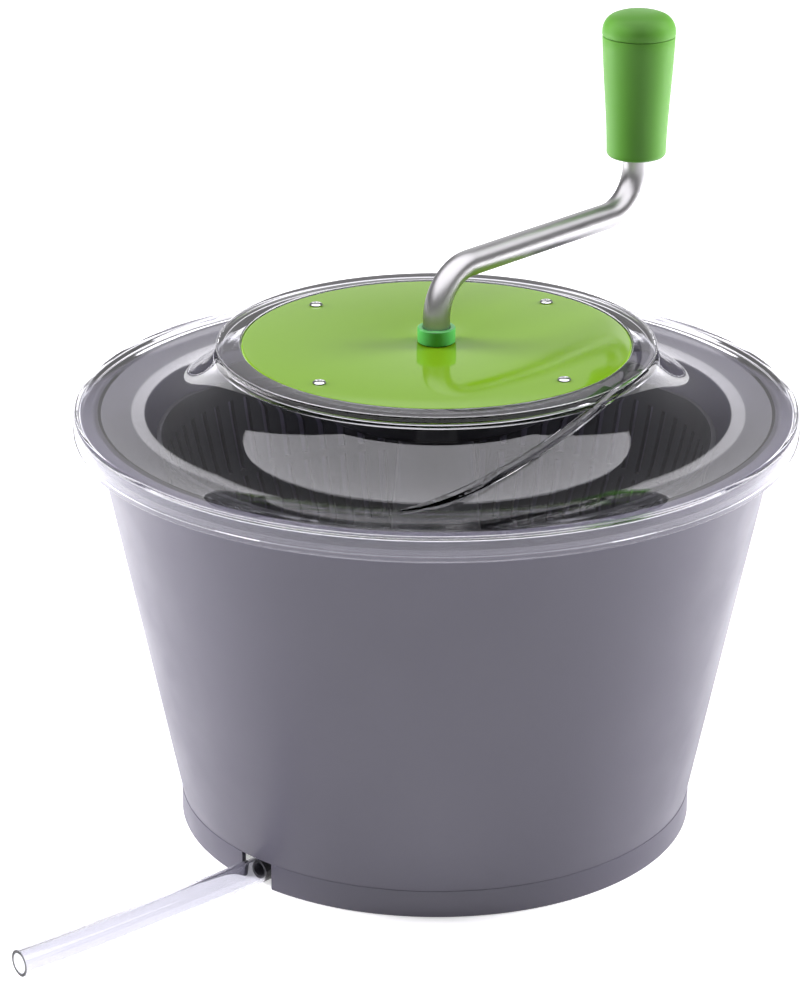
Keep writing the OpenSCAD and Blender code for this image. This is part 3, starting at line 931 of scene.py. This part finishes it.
def add_surround():
    """A studio: plain white in view, soft light on the object, a lit panel in its reflections.

    Its directions are turned so that Y runs from the camera to the object.
    """
    world = bpy.data.worlds.new("studio")
    bpy.context.scene.world = world
    world.use_nodes = True
    tree = world.node_tree
    tree.nodes.remove(tree.nodes["Background"])
    turn = tree.nodes.new("ShaderNodeMapping")
    turn.inputs["Rotation"].default_value = (0, 0, -CAMERA_AZIMUTH)
    place = tree.nodes.new("ShaderNodeTexCoord").outputs["Object"]
    tree.links.new(place, turn.inputs["Vector"])
    parts = tree.nodes.new("ShaderNodeSeparateXYZ")
    tree.links.new(turn.outputs["Vector"], parts.inputs["Vector"])
    across, back, up = (parts.outputs[axis] for axis in "XYZ")

    away = ramp(
        tree, "towards the back", rescale(tree, back, -1, 1),
        [(0.0, 0.08), (0.36, 0.08), (0.58, 0.75), (0.9, 1.0)],
    )
    rise = ramp(
        tree, "towards the top", rescale(tree, up, -1, 1),
        [(0.0, 0.75), (0.645, 0.75), (0.665, 1.2), (0.75, 1.2), (0.86, 0.3), (1.0, 0.3)],
    )
    wide = maths(tree, "DIVIDE", maths(tree, "ABSOLUTE", across), PANEL_HALF_WIDTH)
    tall = maths(tree, "MULTIPLY_ADD", up, PANEL_RISE, PANEL_DROP)
    panel = ramp(
        tree, "panel and its bright edge",
        maths(tree, "MULTIPLY", maths(tree, "MAXIMUM", wide, tall), 0.5),
        [(0.0, 0.95), (0.26, 0.95), (0.29, 1.8), (0.47, 1.8), (0.5, 0.22), (1.0, 0.22)],
    )

    def tinted(pattern):
        dimmed = maths(tree, "MULTIPLY", away, pattern, vector=True)
        colour = maths(tree, "MULTIPLY", dimmed, TINT, vector=True)
        return background(tree, colour, SURROUND_STRENGTH)

    soft, mirrored = tinted(rise), tinted(panel)
    plain = background(tree, (1, 1, 1, 1), BACKDROP_STRENGTH)
    seen = tree.nodes.new("ShaderNodeLightPath").outputs
    unseen = either(tree, seen["Is Glossy Ray"], soft, mirrored)
    whole = either(tree, seen["Is Camera Ray"], unseen, plain)
    tree.links.new(whole, tree.nodes["World Output"].inputs["Surface"])


def add_floor():
    """A pale floor that is a little brighter far out, so that no edge shows."""
    floor = begin(bpy.ops.mesh.primitive_plane_add, "floor", size=FLOOR_SIZE)
    bpy.ops.object.mode_set(mode="OBJECT")
    material, surface = shader(
        "pale_floor", Base_Color=(0.9, 0.9, 0.91, 1), Roughness=0.9, Specular_IOR_Level=0.1,
        Emission_Strength=1.0,
    )
    tree = material.node_tree
    out = tree.nodes.new("ShaderNodeVectorMath")
    out.operation = "LENGTH"
    place = tree.nodes.new("ShaderNodeTexCoord").outputs["Object"]
    tree.links.new(place, out.inputs[0])
    spread = rescale(tree, out.outputs["Value"], GLOW_START, GLOW_END)
    glow = ramp(tree, "brighter far out", spread, [(0.0, 0.5), (1.0, 0.9)])
    tree.links.new(glow, surface.inputs["Emission Color"])
    floor.data.materials.append(material)


def add_stage():
    """The floor, the surround and four soft lights."""
    add_floor()
    add_surround()
    middle = (0, 0, 0.2)
    left = add_softbox("left_box", toward_camera(-1.7, -0.45, 0.7), middle, 0.9, 1.8, 84)
    right = add_softbox("right_box", toward_camera(1.7, -0.45, 0.7), middle, 0.9, 1.8, 76)
    above = add_softbox("above_box", toward_camera(0.0, -0.2, 2.3), middle, 2.4, 2.4, 24)
    for unseen in (left, right, above):
        unseen.visible_glossy = False
        unseen.visible_transmission = False
    below = toward_camera(0.0, 0.7, 0.0)
    roof = add_softbox("roof_box", toward_camera(0.0, 0.75, 2.2), below, 6.2, 3.9, 200)
    roof.visible_diffuse = False
    bpy.context.scene.view_settings.view_transform = "Standard"


# ---------------------------------------------------------------- the whole object

add_camera()
paint.update(make_materials())
paint_frame()
make_hose()
make_bowl()
make_basket()
make_lid()
make_cover()
make_cover_screws()
make_collar()
make_crank()
make_handle()
add_stage()
